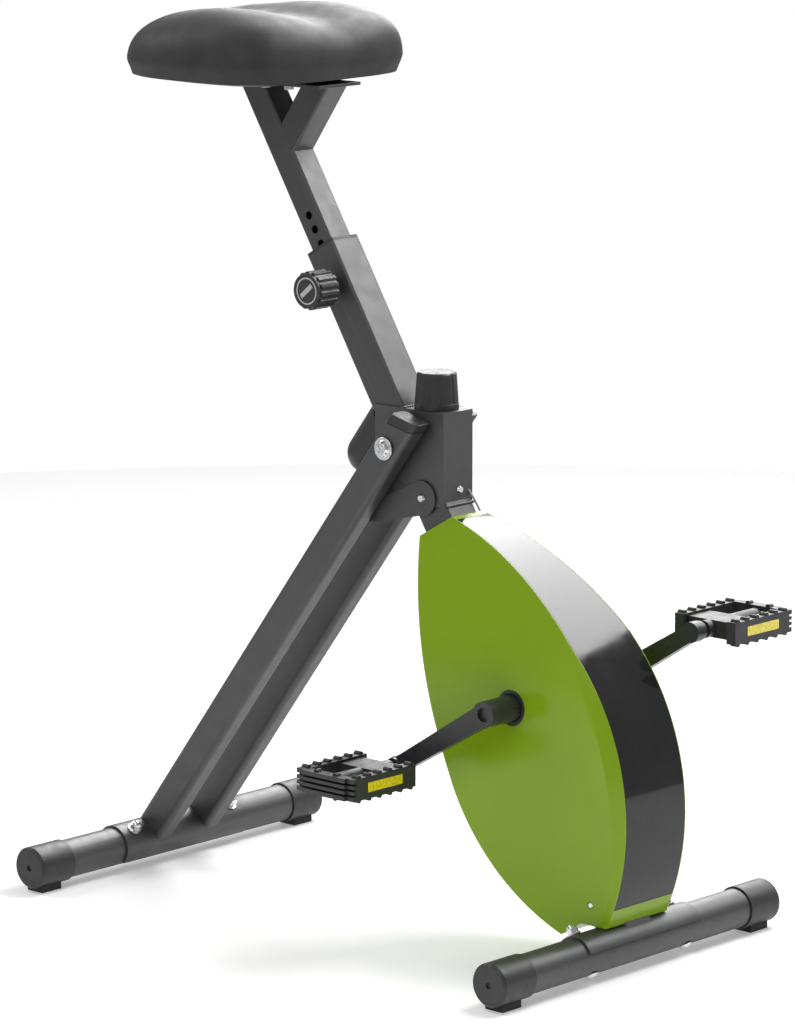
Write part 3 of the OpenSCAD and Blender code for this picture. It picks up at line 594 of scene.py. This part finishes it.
def shell_half(side):
    """One half of the shell: outer and inner skins, joined along the seam and round the mast's hole."""
    skins = []
    for inset in (0.0, WALL):
        skin = []
        for s, trimmed, by_bottom in levels(inset):
            pts = section(s, inset, trimmed, by_bottom)
            skin.append([shell_point(s, n, side * y) for n, y in pts])
        s = TOP_S - inset
        pts = section(s, inset, False, False)
        hole = MAST_HOLE_HALF
        ends = [(max(-hole, min(hole, n)), min(hole, y)) for n, y in pts]
        for t in (0.15, 1.0):
            ring = [(n + (a - n) * t, y + (b - y) * t) for (n, y), (a, b) in zip(pts, ends)]
            skin.append([shell_point(s, n, side * y) for n, y in ring])
        skins.append(skin)
    bm = bmesh.new()
    grids = [[[bm.verts.new(p) for p in row] for row in skin] for skin in skins]

    def quads(a_row, b_row):
        for k in range(len(a_row) - 1):
            bm.faces.new([a_row[k], a_row[k + 1], b_row[k + 1], b_row[k]])

    for grid in grids:
        for a, b in zip(grid, grid[1:]):
            quads(a, b)
    for edge in (0, -1):
        quads([row[edge] for row in grids[0]], [row[edge] for row in grids[1]])
    for end in (0, -1):
        quads(grids[0][end], grids[1][end])
    bmesh.ops.remove_doubles(bm, verts=bm.verts, dist=SAME_CAD_POINT)
    bmesh.ops.dissolve_degenerate(bm, dist=SLIVER, edges=bm.edges)
    bmesh.ops.recalc_face_normals(bm, faces=bm.faces)
    mesh = bpy.data.meshes.new("shell half")
    bm.to_mesh(mesh)
    bm.free()
    return mesh


def cut(obj, cutters):
    """Takes cutter meshes out of a piece's mesh for good."""
    for mesh in cutters:
        tool = bpy.data.objects.new("cutter", mesh)
        scene.collection.objects.link(tool)
        mod = obj.modifiers.new("cut", "BOOLEAN")
        mod.object = tool
        mod.solver = "EXACT"
        mod.operation = "DIFFERENCE"
        bpy.context.view_layer.update()
        got = obj.evaluated_get(bpy.context.evaluated_depsgraph_get())
        result = bpy.data.meshes.new_from_object(got)
        obj.modifiers.clear()
        obj.data = result
        bpy.data.objects.remove(tool)


def plug_mesh(x, z, radius, y0, y1, count=72):
    """A closed cylinder along Y, in millimetres from the front foot axis."""
    rings = []
    for y in (y0, y1):
        turn = [2 * math.pi * k / count for k in range(count)]
        rings.append([local(x + radius * math.cos(t), y, z + radius * math.sin(t)) for t in turn])
    return grid_mesh("plug", rings, cap_ends=True)


def shell():
    """Both halves of the shell, with the hub's hole and the screws' recesses cut in their sides."""
    hub = CRANK - local(0, 0, 0)
    for side, node in ((-1, "shell_right"), (1, "shell_left")):
        obj = piece(node + "_look", shell_half(side), "frame", "shell_green", [node])
        y0, y1 = sorted(side * y for y in HUB_CUT_Y)
        tools = [plug_mesh(hub.x / MM, hub.z / MM, HUB_HOLE_RADIUS, y0, y1)]
        for x, z in SHELL_SCREWS[side]:
            w = half_width(z, 0)
            y0, y1 = sorted((side * (w - SCREW_SINK), side * (w + SCREW_CLEAR)))
            tools.append(plug_mesh(x, z, SCREW_RECESS_RADIUS, y0, y1, 40))
        cut(obj, tools)
        obj.data.materials.clear()
        obj.data.materials.append(FINISH["shell_green"])
        smooth(obj.data, 30)
        rounded_edges(obj, 0.7 * MM, 3, 26)


def trim():
    """The gloss strip let into the front of the shell."""
    rings = []
    foot, top = trim_foot_s() + TRIM_END_GAP, TRIM_TOP_S - TRIM_END_GAP
    for s in np.linspace(foot, top, 130):
        nf = front_n(s, 0)
        wf = half_width(from_sn(s, nf)[1], 0)
        half = min(TRIM_HALF, min(STRIP_HALF, wf) - TRIM_EDGE - TRIM_GAP)
        ys = [half * t for t in (-1, -0.75, -0.45, -0.15, 0.15, 0.45, 0.75, 1)]
        out = [(nf + 0.02, y) for y in ys] + [(nf - TRIM_DEPTH, y) for y in ys[::-1]]
        rings.append([shell_point(s, n, y) for n, y in out])
    mesh = grid_mesh("trim", rings, cap_ends=True)
    smooth(mesh, 30)
    obj = piece("front_trim_look", mesh, "frame", "gloss_black", ["front_trim"])
    rounded_edges(obj, 0.5 * MM, 3, 30)


# ---- saddle ----

# half outline of the saddle at its widest level, rear to front: x from the front foot axis, y
SADDLE_RIM = [
    (-772, 0), (-768, 62), (-746, 120), (-698, 151), (-636, 162), (-576, 161), (-528, 152),
    (-498, 130), (-483, 94), (-477, 48), (-476, 0),
]
SADDLE_MID_X = -632.0
SADDLE_TURNS = [2 * math.pi * k / 128 - math.pi for k in range(128)]
# the underside is level, and its edge runs down to the lip: shares of the way out to the rim
UNDER_SHARES = (0.0, 0.4, 0.8, 0.9, 0.935, 0.95, 0.955)
EDGE_SHARE, EDGE_RUN = 0.91, 0.045
UNDER_LIFT, EDGE_LIFT = 1.0, 0.3
# the sides start this share in from the rim, and are all the way out at this share of the rise
TUCK, TUCK_RISE = 0.043, 0.27
LIP_SHARE = 0.935
CROWN_HEIGHT = 84.5
LOBE_X, LOBE_Y, WAIST_X = -606, 92, -668
PAN_SHARES = (0.72, 0.79)


def rim_reach(angle):
    """Distance from the saddle's middle to its rim at an angle, through the outline's points."""
    pts = SADDLE_RIM + [(x, -y) for x, y in SADDLE_RIM[-2:0:-1]]
    out = [(x - SADDLE_MID_X, y) for x, y in pts]
    polar = sorted((math.atan2(y, x), math.hypot(x, y)) for x, y in out)
    turns = [a for a, _ in polar]
    reach = [r for _, r in polar]
    count = len(polar)
    i = max((k for k in range(count) if turns[k] <= angle), default=count - 1)
    a0, a1 = turns[i], turns[(i + 1) % count]
    if a1 <= a0:
        a1 += 2 * math.pi
    if angle < a0:
        angle += 2 * math.pi
    t = (angle - a0) / (a1 - a0)
    return curve([reach[(i + k) % count] for k in (-1, 0, 1, 2)], t)


def saddle_at(angle, share):
    """x and y in millimetres at an angle round the saddle, a share of the way out to its rim."""
    r = rim_reach(angle) * share
    return SADDLE_MID_X + r * math.cos(angle), r * math.sin(angle)


def ease(x, low, high):
    """0 below low, 1 above high, and a soft step between."""
    t = max(0, min(1, (x - low) / (high - low)))
    return t * t * (3 - 2 * t)


def crown(x, y):
    """Height in mm of the saddle's top over its underside: lobes, a lower tail and a channel."""
    tail = -6 * (1 - ease(x, -755, -655))
    lobes = 4 * math.exp(-(((abs(y) - LOBE_Y) / 50) ** 2) - ((x - LOBE_X) / 90) ** 2)
    channel = -9 * math.exp(-((y / 42) ** 2)) * ease(x, -745, -660)
    waist = -3 * math.exp(-(((x - WAIST_X) / 30) ** 2)) * ease(abs(y), 30, 80)
    return CROWN_HEIGHT + tail + lobes + channel + waist


def saddle_cushion(low):
    """The cushion: a level underside, shoulders that round in over it, and the crown."""
    rows = []
    for share in UNDER_SHARES:
        if share < EDGE_SHARE:
            lift = UNDER_LIFT
        else:
            lift = EDGE_LIFT * (1 - (share - EDGE_SHARE) / EDGE_RUN)
        rows.append([local(*saddle_at(a, share), low + lift) for a in SADDLE_TURNS])
    steps = 48
    for k in range(1, steps + 1):
        climb = math.radians(90 * k / steps)
        row = []
        for a in SADDLE_TURNS:
            # squarer shoulders at the front than at the tail
            bend = 3.1 + 0.8 * ease(math.cos(a), -0.7, 0.7)
            reach = max(0.0, math.cos(climb)) ** (2 / bend) if k < steps else 0.0
            rise = math.sin(climb) ** (2 / bend)
            tuck = TUCK * (1 - ease(rise, 0.0, TUCK_RISE)) if reach > 0.5 else 0.0
            x, y = saddle_at(a, reach - tuck)
            row.append(local(x, y, low + rise * crown(x, y)))
        rows.append(row)
    mesh = grid_mesh("saddle", rows)
    smooth(mesh, 60)
    obj = piece("saddle_look", mesh, "seat", "saddle_vinyl", ["saddle_cushion"])


def saddle_pan():
    """The pan under the cushion, a little smaller than the CAD model's."""
    low, high = (v.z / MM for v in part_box("saddle_pan"))
    inner, outer = PAN_SHARES
    rows = []
    for share, z in ((0.0, low), (inner, low), (outer, high), (0.0, high)):
        rows.append([local(*saddle_at(a, share), z) for a in SADDLE_TURNS])
    pan = grid_mesh("pan", rows)
    smooth(pan, 30)
    obj = piece("saddle_pan_look", pan, "seat", SLOT_OF["saddle_pan"], ["saddle_pan"])
    rounded_edges(obj, 1.2 * MM)


def saddle_lip(low):
    """A plastic bead round the cushion's lower edge."""
    lip = [local(*saddle_at(a, LIP_SHARE), low + 1.2) for a in SADDLE_TURNS]
    lip.append(lip[0])
    bead = tube_mesh("lip", lip, 1.8 * MM, 10)
    smooth(bead, 60)
    piece("saddle_lip", bead, "seat", "black_plastic")


def saddle():
    """The saddle's cushion, its pan and the bead between them."""
    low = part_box("saddle_cushion")[0].z / MM
    saddle_cushion(low)
    saddle_pan()
    saddle_lip(low)


# ---- small pieces ----


def cable():
    """The control cable on its route from the head box into the shell."""
    route = [(-292, 20, 574), (-292, 20, 566), (-286, 21, 557), (-281, 23, 549),
             (-277, 25.5, 540), (-273.5, 27.2, 532), (-266, 27.3, 518), (-255, 27.3, 494),
             (-205, 27.3, 366.5), (-185, 29, 320), (-165, 31, 290)]
    pts = [local(*p) for p in route]
    line = []
    for i in range(len(pts) - 1):
        p = [pts[max(0, i - 1)], pts[i], pts[i + 1], pts[min(len(pts) - 1, i + 2)]]
        line += [curve(p, k / 6) for k in range(6)]
    line.append(pts[-1])
    mesh = tube_mesh("cable", line, 1.3 * MM, 12)
    smooth(mesh, 60)
    piece("tension_cable_look", mesh, "frame", "cable_grey", ["tension_cable"])


# the knob's ring and disc: inner and outer radius, then how deep they start and end, in mm
KNOB_RING = (15.3, 17.2, 0.15, 1.0)
KNOB_FACE = (0.0, 14.7, 0.1, 1.4)
# the bar in metres, and its slope in degrees
KNOB_BAR_SIZE = (0.0235, 0.0062)
KNOB_BAR_THICK = 0.6 * MM
KNOB_BAR_SLOPE = -40
KNOB_BAR_PROUD = 0.1 * MM


def knob_mark():
    """A plain pale ring and bar, and a disc under the bar, on the face of the seat pin's knob."""
    low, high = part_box("pop_pin_knob")
    centre = Vector(((low.x + high.x) / 2, low.y, (low.z + high.z) / 2))
    axis = Vector((0, 1, 0))
    ring = ring_mesh("mark", centre, axis, *(v * MM for v in KNOB_RING))
    smooth(ring, 30)
    piece("knob_ring", ring, "seat_pin", "black_plastic", material=MARK)
    face = ring_mesh("face", centre, axis, *(v * MM for v in KNOB_FACE))
    smooth(face, 30)
    piece("knob_face", face, "seat_pin", "black_plastic")
    bm = bmesh.new()
    bmesh.ops.create_grid(bm, x_segments=12, y_segments=3, size=0.5)
    upright = Matrix.Rotation(math.pi / 2, 4, "X")
    turn = Matrix.Rotation(math.radians(KNOB_BAR_SLOPE), 4, "Y") @ upright
    bmesh.ops.scale(bm, verts=bm.verts, vec=(*KNOB_BAR_SIZE, 1))
    bmesh.ops.transform(bm, matrix=turn, verts=bm.verts)
    bmesh.ops.translate(bm, verts=bm.verts, vec=centre - axis * KNOB_BAR_PROUD)
    bar = bpy.data.meshes.new("bar")
    bm.to_mesh(bar)
    bm.free()
    obj = piece("knob_bar", bar, "seat_pin", "black_plastic", material=MARK)
    thick = obj.modifiers.new("thickness", "SOLIDIFY")
    thick.thickness = KNOB_BAR_THICK
    thick.offset = 0
    rounded_edges(obj, 0.25 * MM, 2, 40)


def weld(name, points, radius, body):
    """A rippled weld bead along straight runs between points."""
    line = []
    for a, b in zip(points, points[1:]):
        steps = max(2, int((b - a).length / BEAD_STEP))
        line += [a.lerp(b, k / steps) for k in range(steps)]
    line.append(points[-1])
    mesh = tube_mesh(name, line, radius * MM, 10, 0.12)
    smooth(mesh, 60)
    piece(name, mesh, body, "frame_paint")


# in millimetres: half the spine and the seat post with a bead's overlap, and the brace's foot
SPINE_HALF = 25.2
POST_HALF = 19.2
BRACE_S = 1087
BRACE_HALF = 17


def at_height(z, n, y):
    """The point at a height in metres on the line n and y off the spine's axis."""
    p = spine(0, n, y)
    return p + SPINE_UP * ((z - p.z) / SPINE_UP.z)


def welds():
    """Beads where the frame's tubes meet."""
    head_low, head_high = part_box("head_box")
    h = SPINE_HALF
    # round the spine where it leaves the head box
    top = [at_height(head_high.z, h, y) for y in (-h, h)]
    weld("weld_head_top", top, 2.0, "frame")
    under = [at_height(head_low.z, n, y) for n, y in ((-h, -h), (h, -h), (h, h), (-h, h))]
    weld("weld_head_under", under, 2.0, "frame")
    # where the forked brace meets the seat post
    foot = [spine(BRACE_S, POST_HALF, y) for y in (-BRACE_HALF, BRACE_HALF)]
    weld("weld_brace", foot, 1.8, "seat")


# ---- everything ----

# how far each piece's edges are rounded, in millimetres
EDGES = {
    "spine_tube": 1.2, "head_box": 1.6, "leg_right": 0.8, "leg_left": 0.8, "seat_post": 0.9,
    "fork_brace": 0.9, "front_end_caps": 1.2, "rear_end_caps": 1.2, "tension_knob": 0.9,
    "rear_bumper": 1.5, "leg_plugs": 1.6, "pedal_right": 0.7, "pedal_left": 0.7,
    "crank_arm_right": 1.2, "crank_arm_left": 1.2, "reflectors_right": 0.3, "reflectors_left": 0.3,
    "lock_ears": 0.8,
}
PLAIN_EDGE = 0.4
MADE_APART = {
    "shell_right", "shell_left", "front_trim", "saddle_cushion", "saddle_pan", "tension_cable",
}

shell()
trim()
saddle()
cable()
for name in frame["nodes"]:
    if name not in MADE_APART:
        refined(name, EDGES.get(name, PLAIN_EDGE))
knob_mark()
welds()

# ---- stage, lights and camera ----

# turns and rises in degrees: a turn of 0 looks from the right side, and 90 from the front
CAMERA_TURN = 42.5
CAMERA_RISE = 10.86
CAMERA_AWAY = 6.1
CAMERA_LENS = 170.4
LOOK_AT = Vector((0.0099, -0.0149, 0.5233))
LAMPS_ROUND = Vector((0, 0, 0.5))
FLOOR_RADIUS = 3.2
FLOOR_SINK = 0.0002
SURROUND_WHITE = 0.95
SURROUND_STRENGTH = 0.36


def direction(turn, rise):
    """The way from the middle out to a camera or lamp."""
    a, e = math.radians(turn), math.radians(rise)
    return Vector((math.sin(a) * math.cos(e), -math.cos(a) * math.cos(e), math.sin(e)))


def add_camera():
    """The camera at the photograph's viewing angle."""
    data = bpy.data.cameras.new("camera")
    data.lens = CAMERA_LENS
    data.sensor_width = 36
    data.clip_end = 60
    cam = bpy.data.objects.new("camera", data)
    scene.collection.objects.link(cam)
    away = direction(CAMERA_TURN, CAMERA_RISE)
    cam.location = LOOK_AT + away * CAMERA_AWAY
    cam.rotation_euler = (-away).to_track_quat("-Z", "Y").to_euler()
    scene.camera = cam


def soft_box(name, turn, rise, away, size, power, shade=True, shine=True):
    """A rectangular lamp; shade is whether it lights matt surfaces, shine whether glossy ones show it."""
    data = bpy.data.lights.new(name, "AREA")
    data.shape = "RECTANGLE"
    data.size, data.size_y = size
    data.energy = power
    lamp = bpy.data.objects.new(name, data)
    scene.collection.objects.link(lamp)
    where = direction(turn, rise)
    lamp.location = LAMPS_ROUND + where * away
    lamp.rotation_euler = where.to_track_quat("Z", "Y").to_euler()
    lamp.visible_diffuse = shade
    lamp.visible_glossy = shine


def add_floor():
    """A round pale floor, just under the feet."""
    bm = bmesh.new()
    bmesh.ops.create_circle(bm, cap_ends=True, segments=96, radius=FLOOR_RADIUS)
    mesh = bpy.data.meshes.new("floor")
    bm.to_mesh(mesh)
    bm.free()
    mesh.materials.append(studio_floor())
    floor = bpy.data.objects.new("floor", mesh)
    scene.collection.objects.link(floor)
    floor.location.z = -FLOOR_SINK


def add_world():
    """White behind the object, and a dimmer surround for what its surfaces pick up."""
    world = bpy.data.worlds.new("studio")
    world.use_nodes = True
    tree = world.node_tree
    surround = tree.nodes["Background"]
    surround.inputs["Color"].default_value = (SURROUND_WHITE, SURROUND_WHITE, SURROUND_WHITE, 1)
    surround.inputs["Strength"].default_value = SURROUND_STRENGTH
    seen = tree.nodes.new("ShaderNodeBackground")
    seen.inputs["Color"].default_value = (1, 1, 1, 1)
    seen.inputs["Strength"].default_value = 1.0
    mix = tree.nodes.new("ShaderNodeMixShader")
    path = tree.nodes.new("ShaderNodeLightPath")
    tree.links.new(path.outputs["Is Camera Ray"], mix.inputs["Fac"])
    tree.links.new(surround.outputs["Background"], mix.inputs[1])
    tree.links.new(seen.outputs["Background"], mix.inputs[2])
    tree.links.new(mix.outputs["Shader"], tree.nodes["World Output"].inputs["Surface"])
    scene.world = world


add_camera()
add_floor()
add_world()
soft_box("key", 150, 60, 3.6, (1.8, 1.8), 120, shine=False)
soft_box("banner", 174, 51, 3.6, (5.4, 1.8), 290, shade=False)
soft_box("rim", 214, 22, 4.2, (2.2, 1.3), 60, shade=False)
soft_box("fill", 10, 35, 4.5, (2.5, 2.5), 45)
soft_box("left", 290, 40, 4.0, (2.0, 2.0), 40)
scene.view_settings.view_transform = "Standard"
